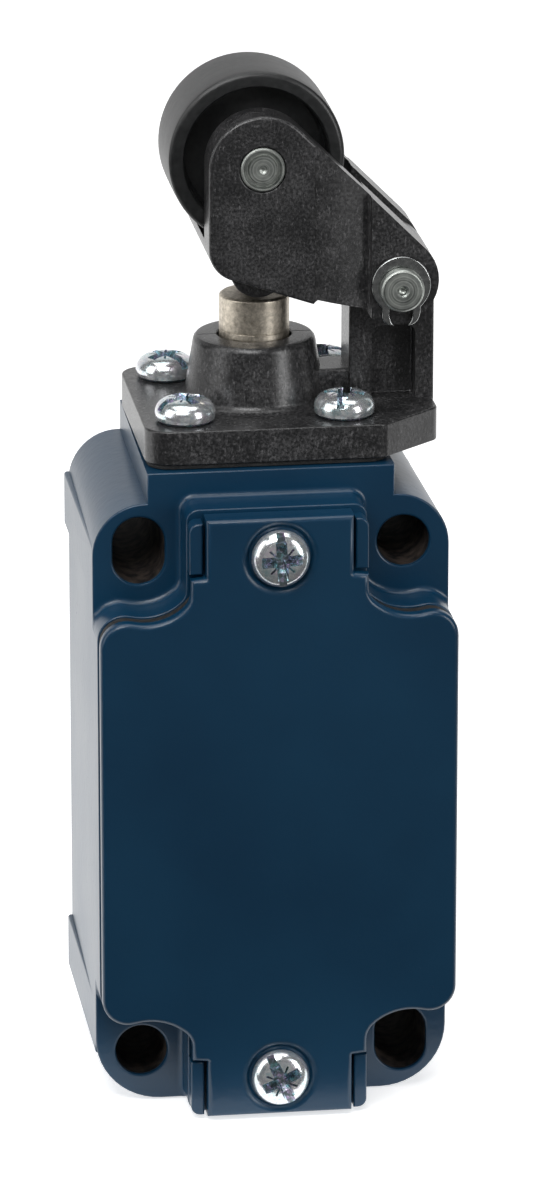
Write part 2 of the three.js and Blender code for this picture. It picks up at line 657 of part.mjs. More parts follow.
limitSwitch.add(makeContactBlock(), makeContactBlockCover(), makeCarriage());
limitSwitch.add(makeBridge('bridge_opening', NC_BRIDGE, 1));
limitSwitch.add(makeBridge('bridge_closing', NO_BRIDGE, -1));
const bridgeSprings = new THREE.Group();
bridgeSprings.position.y = AXIS_Y;
bridgeSprings.add(spring('bridge_spring_opening', 1.3, 0.22, [4.1, NC_BRIDGE - 0.6], 3));
bridgeSprings.add(spring('bridge_spring_closing', 1.3, 0.22, [NO_BRIDGE + 0.6, 2.9], 3));
bridgeSprings.add(spring('carriage_spring', 2.6, 0.35, [-18.8, -9.2], 5));
limitSwitch.add(bridgeSprings);
for (const [name, side] of [['left', -1], ['right', 1]]) {
  const nc = `opening_${name}`;
  const no = `closing_${name}`;
  const x = TERMINAL_X * side;
  limitSwitch.add(makeFixedContact(`fixed_contact_${nc}`, side, 9.3, 15, NC_Z, -1));
  limitSwitch.add(makeFixedContact(`fixed_contact_${no}`, side, -7.8, -1, NO_Z, 1));
  for (const [pole, z] of [[nc, NC_Z], [no, NO_Z]]) {
    limitSwitch.add(makeClamp(`terminal_clamp_${pole}`, x, -18.4, z));
    limitSwitch.add(screw(`terminal_screw_${pole}`, TERMINAL_HEAD, 9, [x, -19.8, z], side,
      true));
  }
  limitSwitch.add(screw(`block_screw_${name}`, TERMINAL_HEAD, 8, [12 * side, -12.6, -13],
    side * 0.7, true));
}
limitSwitch.add(makeClamp('earth_clamp', 9.0, -8.3, -18.8));
limitSwitch.add(screw('earth_screw', TERMINAL_HEAD, 6, [9.0, -9.7, -18.8], 0.3, true));

export default limitSwitch;
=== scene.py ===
# %% [markdown]
# # A limit switch with a roller lever
# The switch has a painted die-cast housing, a black plastic head and a roller lever that presses a
# steel plunger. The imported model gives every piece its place. This script gives the visible pieces
# a finer shape and every piece its finish.

# %% Load the frame
import math

import bpy
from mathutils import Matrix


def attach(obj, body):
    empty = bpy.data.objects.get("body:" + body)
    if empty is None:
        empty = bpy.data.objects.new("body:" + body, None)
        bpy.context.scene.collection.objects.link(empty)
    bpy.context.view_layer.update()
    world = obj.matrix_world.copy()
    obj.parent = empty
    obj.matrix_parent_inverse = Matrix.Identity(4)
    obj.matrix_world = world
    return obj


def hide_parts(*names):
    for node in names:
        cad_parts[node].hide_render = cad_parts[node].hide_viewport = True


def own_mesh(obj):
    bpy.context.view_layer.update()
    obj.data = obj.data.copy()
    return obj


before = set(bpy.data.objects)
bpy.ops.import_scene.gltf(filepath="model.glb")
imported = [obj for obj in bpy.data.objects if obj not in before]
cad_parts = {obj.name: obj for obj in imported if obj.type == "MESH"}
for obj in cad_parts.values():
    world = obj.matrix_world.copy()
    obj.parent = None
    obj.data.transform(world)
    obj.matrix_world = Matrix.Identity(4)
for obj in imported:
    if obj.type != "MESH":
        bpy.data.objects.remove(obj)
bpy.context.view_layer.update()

MM = 0.001

# %% [markdown]
# ## The camera and the studio
# The switch is seen from a little to its left and from above, with a long lens, so that its upright
# edges stay nearly parallel. The floor behind the switch and a tall white sheet further back show
# in the paint of the side wall and the corner bosses, which turn grey there. The floor in front is
# kept out of the reflections, so that the front stays a deep navy.

# %% Camera
AZIMUTH = math.radians(-7.706)
ELEVATION = math.radians(17.814)
DISTANCE = 800
AIM = (0.976, -19.0, 20.888)
back = (math.sin(AZIMUTH) * math.cos(ELEVATION), -math.cos(AZIMUTH) * math.cos(ELEVATION),
        math.sin(ELEVATION))
bpy.ops.object.camera_add(location=[(a + DISTANCE * b) * MM for a, b in zip(AIM, back)],
                          rotation=(math.pi / 2 - ELEVATION, 0, AZIMUTH))
camera = bpy.context.object
camera.data.lens = 212.6
camera.data.sensor_width = 36
bpy.context.scene.camera = camera
bpy.context.scene.view_settings.view_transform = "Standard"
print("camera at", [round(v, 3) for v in camera.location])


# %% Lights
def soft_light(name, place, width, height, power):
    """A rectangular light that faces the middle of the switch."""
    aim = (0, -0.02, 0.025)
    bpy.ops.object.light_add(type="AREA", location=place)
    light = bpy.context.object
    light.name = name
    light.data.shape = "RECTANGLE"
    light.data.size = width
    light.data.size_y = height
    light.data.energy = power
    light.visible_camera = False
    x, y, z = [a - b for a, b in zip(aim, place)]
    light.rotation_euler = (math.pi / 2 + math.atan2(z, math.hypot(x, y)), 0,
                            math.atan2(y, x) - math.pi / 2)
    return light


soft_light("light_left", (-0.75, -0.25, 0.35), 0.5, 0.8, 2.6)
soft_light("light_top", (0.0, -0.1, 0.9), 0.9, 0.6, 4.2)
soft_light("light_right", (0.63, -0.65, 0.22), 0.26, 0.6, 3.2)
soft_light("light_front", (-0.08, -0.24, 0.26), 0.2, 0.14, 0.6)
soft_light("light_low", (0.05, -0.42, -0.03), 0.5, 0.25, 0.035)

world = bpy.data.worlds.new("studio")
bpy.context.scene.world = world
world.use_nodes = True
world.node_tree.nodes["Background"].inputs["Color"].default_value = (1, 1, 1, 1)
world.node_tree.nodes["Background"].inputs["Strength"].default_value = 0.07


# %% Floor and backdrop
def stage_sheet(name, place, size, upright, glow):
    """A white sheet that glows a little, so that shadows on it stay faint."""
    bpy.ops.mesh.primitive_plane_add(size=1, location=[v * MM for v in place])
    sheet = bpy.context.object
    sheet.name = name
    sheet.scale = (size[0], size[1], 1)
    if upright:
        sheet.rotation_euler = (math.pi / 2, 0, 0)
    material = bpy.data.materials.new(name + "_white")
    material.use_nodes = True
    shader = material.node_tree.nodes["Principled BSDF"]
    shader.inputs["Base Color"].default_value = (0.9, 0.9, 0.9, 1)
    shader.inputs["Roughness"].default_value = 1
    shader.inputs["Specular IOR Level"].default_value = 0
    shader.inputs["Emission Color"].default_value = (1, 1, 1, 1)
    shader.inputs["Emission Strength"].default_value = glow
    sheet.data.materials.append(material)
    return sheet


FLOOR_Z = -36.2
SPLIT_Y = -45
stage_sheet("floor_back", (0, SPLIT_Y + 2000, FLOOR_Z), (8, 4), False, 0.62)
front_floor = stage_sheet("floor_front", (0, SPLIT_Y - 2000, FLOOR_Z), (8, 4), False, 0.8)
front_floor.visible_glossy = False
front_floor.visible_diffuse = False
stage_sheet("backdrop", (0, 1600, 1000), (5, 2.2), True, 0.35)

# %% [markdown]
# ## Shaping tools
# Most pieces of the switch are either flat outlines with depth, such as the cover and the lever
# plates, or turned round an axis, such as the pins and the roller. A die-cast or moulded edge is
# never sharp, so an outline is extruded in several small steps that run round its edge. An
# alternative is the Bevel modifier, but it has to share its width among all edges and gets thin
# where two of them are close.


# %% Outlines
def arc(x, z, radius, start, end, steps=12):
    """Points on an arc about (x, z), between two angles in degrees."""
    angles = [math.radians(start + (end - start) * i / steps) for i in range(steps + 1)]
    return [(x + radius * math.cos(a), z + radius * math.sin(a)) for a in angles]


def circle(x, z, radius, steps=48):
    return arc(x, z, radius, 1.7, 361.7, steps)[:-1]


def unit(start, end):
    length = math.dist(start, end)
    return (end[0] - start[0]) / length, (end[1] - start[1]) / length


def rounded(*corners, steps=6):
    """A closed outline: a corner (x, z, radius) becomes an arc, and (x, z) stays as it is."""
    points = []
    for i, corner in enumerate(corners):
        here = corner[:2]
        if len(corner) == 2:
            points.append(here)
            continue
        before, after = corners[i - 1][:2], corners[(i + 1) % len(corners)][:2]
        back_x, back_z = unit(here, before)
        on_x, on_z = unit(here, after)
        half = math.acos(back_x * on_x + back_z * on_z) / 2
        reach = corner[2] / math.tan(half)
        start = (here[0] + back_x * reach, here[1] + back_z * reach)
        middle_x, middle_z = unit((0, 0), (back_x + on_x, back_z + on_z))
        centre = (here[0] + middle_x * corner[2] / math.sin(half),
                  here[1] + middle_z * corner[2] / math.sin(half))
        first = math.atan2(start[1] - centre[1], start[0] - centre[0])
        turn = math.pi - 2 * half
        if back_x * on_z - back_z * on_x > 0:
            turn = -turn
        for step in range(steps + 1):
            angle = first + turn * step / steps
            points.append((centre[0] + corner[2] * math.cos(angle),
                           centre[1] + corner[2] * math.sin(angle)))
    return points


def pulled_in(outline, inset):
    """An outline moved inwards by an inset, or outwards where the inset is negative."""
    pairs = list(zip(outline, outline[1:] + outline[:1]))
    area = sum(a[0] * b[1] - a[1] * b[0] for a, b in pairs)
    side = 1 if area > 0 else -1
    moved = []
    for (before, here), (_, after) in zip(pairs[-1:] + pairs[:-1], pairs):
        (ax, az), (bx, bz) = unit(before, here), unit(here, after)
        reach = side * inset / (1 + ax * bx + az * bz)
        moved.append((here[0] - (az + bz) * reach, here[1] + (ax + bx) * reach))
    return moved


# %% Solids from outlines
def deselect():
    bpy.ops.object.select_all(action="DESELECT")


def build_up(name, rings):
    """Extrudes a first ring of points through all the others. Points are in millimetres."""
    deselect()
    bpy.ops.mesh.primitive_circle_add(vertices=len(rings[0]), fill_type="NGON")
    piece = bpy.context.object
    piece.name = piece.data.name = name
    order = list(range(len(rings[0])))
    for number, ring in enumerate(rings):
        if number:
            spots = {tuple(piece.data.vertices[v].co): i for i, v in enumerate(order)}
            bpy.ops.object.mode_set(mode="EDIT")
            bpy.ops.mesh.extrude_region_move()
            bpy.ops.object.mode_set(mode="OBJECT")
            for vertex in piece.data.vertices:
                if vertex.select:
                    order[spots[tuple(vertex.co)]] = vertex.index
        for v, point in zip(order, ring):
            piece.data.vertices[v].co = [c * MM for c in point]
    tidy_normals(piece)
    return piece


def tidy_normals(piece):
    deselect()
    piece.select_set(True)
    bpy.context.view_layer.objects.active = piece
    bpy.ops.object.mode_set(mode="EDIT")
    bpy.ops.mesh.select_all(action="SELECT")
    bpy.ops.mesh.remove_doubles(threshold=0.0005 * MM)
    bpy.ops.mesh.normals_make_consistent(inside=False)
    bpy.ops.object.mode_set(mode="OBJECT")


def open_edges(piece):
    """How many edges don't have exactly two faces: none, on a closed piece."""
    uses = {}
    for polygon in piece.data.polygons:
        for edge in polygon.edge_keys:
            uses[edge] = uses.get(edge, 0) + 1
    return sum(1 for count in uses.values() if count != 2)


def slab(name, outline, ends, rounding=(0, 0), along="Y", steps=4):
    """An outline with depth along Y or Z; rounding is the radius of its edge at each end."""
    levels = []
    for i in range(steps + 1):
        angle = math.pi / 2 * i / steps
        levels.append((rounding[0] * (1 - math.sin(angle)),
                       ends[0] + rounding[0] * (1 - math.cos(angle))))
    for i in range(steps, -1, -1):
        angle = math.pi / 2 * i / steps
        levels.append((rounding[1] * (1 - math.sin(angle)),
                       ends[1] - rounding[1] * (1 - math.cos(angle))))
    rings = []
    for number, (inset, level) in enumerate(levels):
        if number and levels[number - 1] == (inset, level):
            continue
        flat = pulled_in(outline, inset)
        rings.append([(x, level, z) if along == "Y" else (x, z, level) for x, z in flat])
    return build_up(name, rings)


def turned(name, profile, place=(0, 0, 0), facing="up", turn=0, steps=64):
    """A profile of (radius, height) points turned about its own axis, which then faces up or
    to the front."""
    deselect()
    bpy.ops.mesh.primitive_circle_add(vertices=len(profile), fill_type="NOTHING")
    piece = bpy.context.object
    piece.name = piece.data.name = name
    for vertex, (radius, height) in zip(piece.data.vertices, profile):
        vertex.co = (radius * MM, 0, height * MM)
    if profile[0][0] == 0 and profile[-1][0] == 0:
        for part in (*piece.data.vertices, *piece.data.edges):
            part.select = False
        last = len(profile) - 1
        piece.data.edges[[tuple(sorted(e.vertices)) for e in piece.data.edges].index(
            (0, last))].select = True
        bpy.ops.object.mode_set(mode="EDIT")
        bpy.ops.mesh.select_mode(type="EDGE")
        bpy.ops.mesh.delete(type="EDGE")
        bpy.ops.mesh.select_mode(type="VERT")
        bpy.ops.object.mode_set(mode="OBJECT")
    bpy.ops.object.mode_set(mode="EDIT")
    bpy.ops.mesh.select_all(action="SELECT")
    bpy.ops.mesh.spin(steps=steps, angle=2 * math.pi, center=(0, 0, 0), axis=(0, 0, 1))
    bpy.ops.object.mode_set(mode="OBJECT")
    tidy_normals(piece)
    set_down(piece, (0, 0, 0), (0, 0, turn))
    set_down(piece, place, (math.pi / 2 if facing == "front" else 0, 0, 0))
    return piece


def set_down(piece, place, angles=(0, 0, 0)):
    """Moves and turns a piece, and writes the move into its mesh."""
    deselect()
    piece.select_set(True)
    bpy.context.view_layer.objects.active = piece
    piece.location = [v * MM for v in place]
    piece.rotation_euler = angles
    bpy.ops.object.transform_apply(location=True, rotation=True, scale=True)


# %% Joining and cutting
def combine(piece, operation, tools):
    for tool in tools:
        modifier = piece.modifiers.new("Boolean", "BOOLEAN")
        modifier.operation = operation
        modifier.solver = "EXACT"
        modifier.object = tool
        deselect()
        piece.select_set(True)
        bpy.context.view_layer.objects.active = piece
        bpy.ops.object.modifier_apply(modifier=modifier.name)
        bpy.data.objects.remove(tool)
    return piece


def join(piece, *tools):
    return combine(piece, "UNION", tools)


def cut(piece, *tools):
    return combine(piece, "DIFFERENCE", tools)


def box(name, x, y, z):
    """A sharp block, which only serves as a tool for cutting."""
    outline = [(x[0], z[0]), (x[1], z[0]), (x[1], z[1]), (x[0], z[1])]
    return slab(name, outline, y)


def shade(piece, angle=32):
    """Smooth shading up to an angle, with normals that keep the flat faces flat."""
    deselect()
    piece.select_set(True)
    bpy.context.view_layer.objects.active = piece
    bpy.ops.object.shade_smooth_by_angle(angle=math.radians(angle))
    modifier = piece.modifiers.new("Normals", "WEIGHTED_NORMAL")
    modifier.keep_sharp = True
    bpy.ops.object.modifier_apply(modifier=modifier.name)


def settle(piece, finish, slot, body, *stands_for, angle=32):
    """Gives a finished piece its shading, its finish, its body and the CAD nodes it replaces."""
    tidy_normals(piece)
    shade(piece, angle)
    piece.data.materials.clear()
    piece.data.materials.append(finish.material)
    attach(piece, body)
    if stands_for:
        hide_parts(*stands_for)
    print(piece.name, "faces:", len(piece.data.polygons), "open edges:", open_edges(piece))


# %% [markdown]
# ## Finishes
# A finish is a small network of nodes on the piece's own coordinates. Two classes keep it short:
# one wraps a socket, so that sums and products are written as Python expressions, and one holds
# the material and adds any other node.


# %% Shader maths
class Socket:
    def __init__(self, finish, socket):
        self.finish = finish
        self.socket = socket

    def maths(self, operation, first, second):
        return self.finish.node("ShaderNodeMath", {"operation": operation},
                                {0: first, 1: second})

    def __add__(self, other):
        return self.maths("ADD", self, other)

    def __sub__(self, other):
        return self.maths("SUBTRACT", self, other)

    def __rsub__(self, other):
        return self.maths("SUBTRACT", other, self)

    def __mul__(self, other):
        return self.maths("MULTIPLY", self, other)

    __radd__ = __add__
    __rmul__ = __mul__


class Finish:
    def __init__(self, name, colour, roughness, metallic=0.0, **constants):
        self.material = bpy.data.materials.new(name)
        self.material.use_nodes = True
        self.tree = self.material.node_tree
        self.shader = self.tree.nodes["Principled BSDF"]
        self.shader.inputs["Base Color"].default_value = (*colour, 1)
        self.shader.inputs["Roughness"].default_value = roughness
        self.shader.inputs["Metallic"].default_value = metallic
        for socket, value in constants.items():
            self.shader.inputs[socket.replace("_", " ").title()].default_value = value
        self.place = self.node("ShaderNodeTexCoord", output="Object")

    def node(self, kind, settings=None, sockets=None, output=0):
        """Adds a node: its settings come first, then the values or links of its sockets."""
        node = self.tree.nodes.new(kind)
        for name, value in (settings or {}).items():
            if name == "stops":
                for stop, (position, colour) in zip(node.color_ramp.elements, value):
                    stop.position = position
                    stop.color = colour
            else:
                setattr(node, name, value)
        for name, value in (sockets or {}).items():
            if isinstance(value, Socket):
                self.tree.links.new(value.socket, node.inputs[name])
            else:
                node.inputs[name].default_value = value
        return Socket(self, node.outputs[output])

    def noise(self, per_mm, detail=3.0, stretch=(1, 1, 1), roughness=0.5):
        """Noise from 0 to 1 with a number of cells per millimetre along each axis."""
        scaled = self.node("ShaderNodeVectorMath", {"operation": "MULTIPLY"},
                           {0: self.place, 1: [per_mm * s / MM for s in stretch]})
        return self.node("ShaderNodeTexNoise", {},
                         {"Vector": scaled, "Scale": 1.0, "Detail": detail,
                          "Roughness": roughness})

    def between(self, value, low, high):
        """Stretches the part of a value between low and high to 0 to 1."""
        return self.node("ShaderNodeMapRange", {"clamp": True},
                         {"Value": value, "From Min": low, "From Max": high})

    def blend(self, share, first, second):
        """A colour between two colours."""
        colours = [c if isinstance(c, Socket) else (*c, 1) for c in (first, second)]
        return self.node("ShaderNodeMix", {"data_type": "RGBA"},
                         {0: share, 6: colours[0], 7: colours[1]}, output=2)

    def set(self, socket, value):
        self.tree.links.new(value.socket, self.shader.inputs[socket])

    def relief(self, height, depth_mm):
        bump = self.node("ShaderNodeBump", {}, {"Height": height, "Distance": depth_mm * MM,
                                                "Strength": 1.0})
        self.set("Normal", bump)


# %% [markdown]
# ### Navy paint
# The housing and its cover are zinc or aluminium castings with a baked navy enamel. Thick enamel
# dries with a fine waviness, called orange peel, and gathers a few specks of dust.

# %% Navy paint
navy = Finish("navy_paint", (0.005, 0.024, 0.058), 0.3)
cloudy = navy.noise(0.06, 2)
peel = navy.noise(0.9, 2)
specks = navy.between(navy.noise(2.6, 1), 0.74, 0.8)
navy.set("Base Color", navy.blend(navy.between(cloudy, 0.3, 0.7), (0.0014, 0.0262, 0.0610),
                                  (0.0026, 0.0342, 0.0756)))
navy.set("Roughness", 0.26 + cloudy * 0.08 + specks * 0.15)
navy.relief(peel + specks * 0.3, 0.028)

# %% Painted shade in the holes
# The walls of the mounting holes get a dull, dark finish: painted shade for the shadow deep in the
# holes.
hole_shade = Finish("hole_shade", (0.004, 0.004, 0.004), 0.8)
hole_shade.shader.inputs["Specular IOR Level"].default_value = 0.12
hole_noise = hole_shade.noise(0.8, 4)
hole_shade.set("Base Color", hole_shade.blend(hole_shade.between(hole_noise, 0.35, 0.7),
                                            (0.006, 0.006, 0.007), (0.060, 0.046, 0.038)))
hole_shade.relief(hole_noise, 0.03)

# %% [markdown]
# ### Black plastics
# The head and lever are moulded in glass-filled nylon: dark grey, with paler fibre ends that make
# it look mottled. The roller is a smoother, blacker plastic with fine turning marks round its axis.

# %% Head plastic
head_plastic = Finish("head_plastic", (0.03, 0.03, 0.031), 0.5)
mottle = head_plastic.noise(3.0, 5, roughness=0.72)
swirl = head_plastic.noise(0.28, 3)
fibres = head_plastic.between(head_plastic.noise(1.0, 3, (4.5, 4.5, 1.4)), 0.58, 0.72)
pale = head_plastic.between((1 - mottle) + fibres * 0.2 + swirl * 0.3, 0.5, 0.86)
head_plastic.set("Base Color", head_plastic.blend(pale * pale, (0.0085, 0.0086, 0.0092),
                                                  (0.094, 0.093, 0.095)))
head_plastic.set("Roughness", 0.2 + mottle * 0.18)
head_plastic.relief(head_plastic.noise(2.4, 2), 0.012)

# %% Roller plastic
ROLLER = (-0.35, -15.7, 72.45)


def round_y(finish, centre):
    """Distance in millimetres from a line along Y."""
    aside = finish.node("ShaderNodeVectorMath", {"operation": "SUBTRACT"},
                        {0: finish.place, 1: [v * MM for v in centre]})
    flat = finish.node("ShaderNodeVectorMath", {"operation": "MULTIPLY"},
                       {0: aside, 1: (1 / MM, 0, 1 / MM)})
    return finish.node("ShaderNodeVectorMath", {"operation": "LENGTH"}, {0: flat}, output="Value")


roller_plastic = Finish("roller_plastic", (0.014, 0.0145, 0.015), 0.42)
grain = roller_plastic.noise(1.6, 4)
lathe = roller_plastic.noise(1.0, 2, (0.15, 7, 0.15))
roller_plastic.set("Base Color", roller_plastic.blend(
    roller_plastic.between(grain, 0.35, 0.7), (0.0060, 0.0065, 0.0068), (0.0150, 0.0155, 0.0160)))
roller_plastic.set("Roughness", 0.27 + grain * 0.12 + lathe * 0.12)
roller_plastic.relief(grain * 0.3 + lathe, 0.005)

# %% [markdown]
# ### Metals
# The pins are turned, so their ends carry rings; the light and dark bands of the rings in the
# colour are painted reflection. The plunger is ground steel, dull and warm. The screws are zinc
# plated and passivated, which leaves a thin film with a hint of blue and pink; the darker zinc in
# their recesses is painted shade.


# %% Steels
# Turning rings: real marks in the relief, and painted reflection where they band the colour.
def ring_marks_and_sheen(finish, centre, per_mm):
    rings = finish.node("ShaderNodeCombineXYZ", {}, {0: round_y(finish, centre) * per_mm})
    return finish.node("ShaderNodeTexNoise", {}, {"Vector": rings, "Scale": 1.0, "Detail": 2.0})


def pin_steel(name, centre):
    finish = Finish(name, (0.5, 0.49, 0.46), 0.32, 0.85)
    rings = ring_marks_and_sheen(finish, centre, 5)
    stain = finish.noise(0.9, 4)
    # The light and dark bands that the rings give the colour are painted reflection of the turning
    # marks.
    finish.set("Base Color", finish.blend(finish.between(rings + stain * 0.4, 0.5, 0.9),
                                          (0.13, 0.142, 0.135), (0.52, 0.545, 0.51)))
    finish.set("Roughness", 0.26 + rings * 0.22 + stain * 0.06)
    finish.relief(rings, 0.03)
    return finish


PIVOT = (15.3, -15.7, 58.2)
roller_pin_steel = pin_steel("roller_pin_steel", ROLLER)
pivot_pin_steel = pin_steel("pivot_pin_steel", PIVOT)

plunger_steel = Finish("plunger_steel", (0.34, 0.31, 0.27), 0.42, 1.0)
ground = plunger_steel.noise(1.0, 3, (0.3, 0.3, 9))
dull = plunger_steel.noise(2.0, 5, roughness=0.7)
plunger_steel.set("Base Color", plunger_steel.blend(
    plunger_steel.between(dull, 0.32, 0.68), (0.38, 0.335, 0.27), (0.80, 0.73, 0.62)))
plunger_steel.set("Roughness", 0.3 + ground * 0.1 + dull * 0.12)
plunger_steel.relief(ground * 0.3 + plunger_steel.noise(2.5, 2), 0.008)

# %% Plated and bright metals
zinc = Finish("zinc_plate", (0.66, 0.69, 0.69), 0.2, 0.84)
film = zinc.noise(0.55, 3)
scratch = zinc.noise(3.0, 3)
tint = zinc.blend(zinc.between(film, 0.3, 0.7), (0.44, 0.68, 0.70), (0.84, 0.72, 0.82))
zinc.set("Base Color", zinc.blend(zinc.between(scratch, 0.35, 0.65), tint, (0.92, 0.95, 0.94)))
zinc.set("Roughness", 0.12 + scratch * 0.14)
zinc.relief(scratch + film * 2.0, 0.01)

# A darker copy of the zinc for the screw recesses: painted shade, with the real blue and pink tints
# of the passivation film.
zinc_recess_shade = Finish("zinc_recess_shade", (0.30, 0.36, 0.38), 0.25, 0.8)
hue = zinc_recess_shade.noise(1.1, 2)
recess_mottle = zinc_recess_shade.noise(2.6, 3)
hues = zinc_recess_shade.blend(zinc_recess_shade.between(hue, 0.38, 0.62), (0.34, 0.68, 0.72),
                         (0.72, 0.58, 0.84))
zinc_recess_shade.set("Base Color", zinc_recess_shade.blend(zinc_recess_shade.between(recess_mottle, 0.38, 0.58), hues,
                                                (0.20, 0.25, 0.26)))
zinc_recess_shade.set("Roughness", 0.18 + recess_mottle * 0.2)
zinc_recess_shade.relief(recess_mottle, 0.02)


def bright_metal(name, dark, light, roughness):
    """A plain drawn or rolled metal, with faint marks and a slightly uneven shine."""
    finish = Finish(name, light, roughness, 1.0)
    marks = finish.noise(2.0, 3, (1, 0.25, 1))
    finish.set("Base Color", finish.blend(finish.between(marks, 0.3, 0.7), dark, light))
    finish.set("Roughness", roughness - 0.06 + marks * 0.14)
    finish.relief(marks, 0.005)
    return finish


bronze = bright_metal("bronze", (0.20, 0.135, 0.075), (0.33, 0.235, 0.14), 0.38)
spring_steel = bright_metal("spring_steel", (0.36, 0.36, 0.36), (0.55, 0.55, 0.54), 0.28)
clip_steel = bright_metal("clip_steel", (0.26, 0.27, 0.27), (0.46, 0.47, 0.46), 0.2)
brass = bright_metal("contact_brass", (0.55, 0.36, 0.13), (0.74, 0.52, 0.22), 0.27)
silver = bright_metal("contact_silver", (0.66, 0.66, 0.63), (0.84, 0.83, 0.80), 0.22)

# %% Rubber and inner mouldings
rubber = Finish("black_rubber", (0.008, 0.008, 0.009), 0.75)
cells = rubber.noise(1.6, 4)
rubber.set("Base Color", rubber.blend(rubber.between(cells, 0.4, 0.7), (0.004, 0.004, 0.0045),
                                      (0.018, 0.018, 0.018)))
rubber.set("Roughness", 0.66 + cells * 0.2)
rubber.relief(cells, 0.12)


def inner_moulding(name, dark, light):
    finish = Finish(name, light, 0.45)
    flow = finish.noise(0.35, 4, (1, 1, 0.4))
    pores = finish.noise(2.4, 3)
    finish.set("Base Color", finish.blend(finish.between(flow, 0.3, 0.7), dark, light))
    finish.set("Roughness", 0.38 + flow * 0.12)
    finish.relief(pores, 0.012)
    return finish


block_moulding = inner_moulding("block_moulding", (0.018, 0.045, 0.034), (0.03, 0.068, 0.052))
pale_moulding = inner_moulding("pale_moulding", (0.55, 0.51, 0.42), (0.70, 0.66, 0.56))
print("finishes:", len(bpy.data.materials))

# %% [markdown]
# ## Housing
# The housing is one casting: a box with a boss at each corner, an S-shaped rim that the cover closes
# on, and a neck that carries the head. The box could be bevelled as a whole, but its bosses and
# rim have different radii, so each is extruded with its own rounding and they are joined.

# %% Outlines of the casting
HALF_WIDTH = 20.25
HOLE_X, HOLE_Z = 15, 30
SHOULDER_Y, RIM_Y, FRONT_Y, INNER_WALL_Y = -30.2, -34.8, -38.0, -2.5
AXIS_Y = -15.7
WALL = 2.6


def wavy_side(inset):
    """One quarter of the cover's edge: round the bay at a mounting hole, then the corner."""
    side = HALF_WIDTH - inset
    bay = 6.3 + inset
    corner = max(3 - inset, 0.3)
    corner_x = side - corner
    corner_z = HOLE_Z - math.sqrt((bay + corner) ** 2 - (HOLE_X - corner_x) ** 2)
    turn = math.degrees(math.atan2(corner_z - HOLE_Z, corner_x - HOLE_X))
    return bay, (corner_x, corner_z, corner), turn


def cover_outline(inset, top_corners, start=-130):
    """The cover's whole outline; top_corners are the corners above the bay, from the middle,
    and start is the angle where the bay begins."""
    bay, (corner_x, corner_z, corner), turn = wavy_side(inset)
    quarter = list(top_corners) + arc(HOLE_X, HOLE_Z, bay, start, turn, 14)
    quarter += arc(corner_x, corner_z, corner, turn + 180, 0, 10)[1:]
    mirrored = [(p[0], -p[1], *p[2:]) for p in reversed(quarter)]
    right = quarter + mirrored
    left = [(-p[0], p[1], *p[2:]) for p in reversed(right)]
    return rounded(*right, *left)


def inner_outline(inset):
    """The same outline without its tongues, straight between the bays."""
    top = 27.8 - inset
    return cover_outline(inset, [], -180 - math.degrees(math.asin((top - HOLE_Z) / (6.3 + inset))))


rim_outline = cover_outline(0, [(10.2, 36.0, 1.4), (10.2, 25.8, 1.9)])
housing_outline = rounded((14, 39), (-14, 39), (-14, 35.5), (-20.25, 35.5, 6), (-20.25, -36, 7.5),
                          (20.25, -36, 7.5), (20.25, 35.5, 6), (14, 35.5), steps=12)
print("points on the rim:", len(rim_outline))

# %% Casting
housing = slab("housing_casting", housing_outline, (SHOULDER_Y, 0), (0.22, 0.25), steps=3)
rim = slab("rim", rim_outline, (RIM_Y, SHOULDER_Y + 1), (0.2, 0), steps=3)
FILLET = 0.7
fillet_rings = []
for step in range(5):
    angle = math.pi / 2 * step / 4
    flat = pulled_in(rim_outline, -FILLET * (1 - math.cos(angle)))
    level = SHOULDER_Y - FILLET + FILLET * math.sin(angle)
    fillet_rings.append([(max(-20.2, min(20.2, x)), level, max(-35.95, z)) for x, z in flat])
fillet_rings.append([(x, SHOULDER_Y + 1, z) for x, _, z in fillet_rings[-1]])
join(housing, rim, build_up("rim_fillet", fillet_rings))

# %% [markdown]
# The side walls of a casting lean in a little towards the back, so that it leaves its mould. The
# lean is given to the points of the mesh. The pads at the mounting holes come after it, because
# they stand square and so grow out of the wall towards the back.

# %% Draft
BACK_HALF_WIDTH = 19.7
for vertex in housing.data.vertices:
    depth = max(0, (vertex.co.y / MM - SHOULDER_Y) / -SHOULDER_Y)
    vertex.co.x *= 1 + (BACK_HALF_WIDTH / HALF_WIDTH - 1) * depth
print("half width at the back:", BACK_HALF_WIDTH)

# %% Pads and lugs
for side in (-1, 1):
    for end in (-1, 1):
        pad = rounded(*[(side * x, end * z, 0.35) for x, z in
                        ((17, 24.2), (20.2, 24.2), (20.2, 30.6), (17, 30.6))])
        lug_top = 35.0 if end > 0 else 35.6
        lug = rounded((side * 8.6, end * 29.1), (side * 10.1, end * 29.1),
                      (side * 10.1, end * lug_top, 1.0), (side * 8.6, end * lug_top))
        join(housing, slab("pad", pad, (-29, -0.1), (0.2, 0.2)),
             slab("lug", lug, (-37.1, -33.8), (0.25, 0)))

# %% Hollow and pillars
cut(housing, slab("hollow", inner_outline(WALL), (RIM_Y - 1, INNER_WALL_Y), (0, 0.3)))
for x, z, front in ((-12, -13, -9), (12, -13, -9), (9.0, -18.8, -8)):
    join(housing, slab("pillar", circle(x, z, 3, 32), (front, INNER_WALL_Y + 1), (0.3, 0)))
    cut(housing, slab("pilot", circle(x, z, 1.7, 24), (front - 1, -1.5)))


# %% Holes
def hole_cutter(name, outline, mouth, back, ease=0.35):
    """A straight hole whose edges are eased at the mouth and at the back."""
    levels = ((-ease - 0.1, mouth - 0.1), (-ease, mouth), (-ease * 0.3, mouth + ease * 0.35),
              (0, mouth + ease), (0, back - ease), (-ease, back), (-ease - 0.1, back + 0.1))
    return build_up(name, [[(x, level, z) for x, z in pulled_in(outline, inset)]
                           for inset, level in levels])


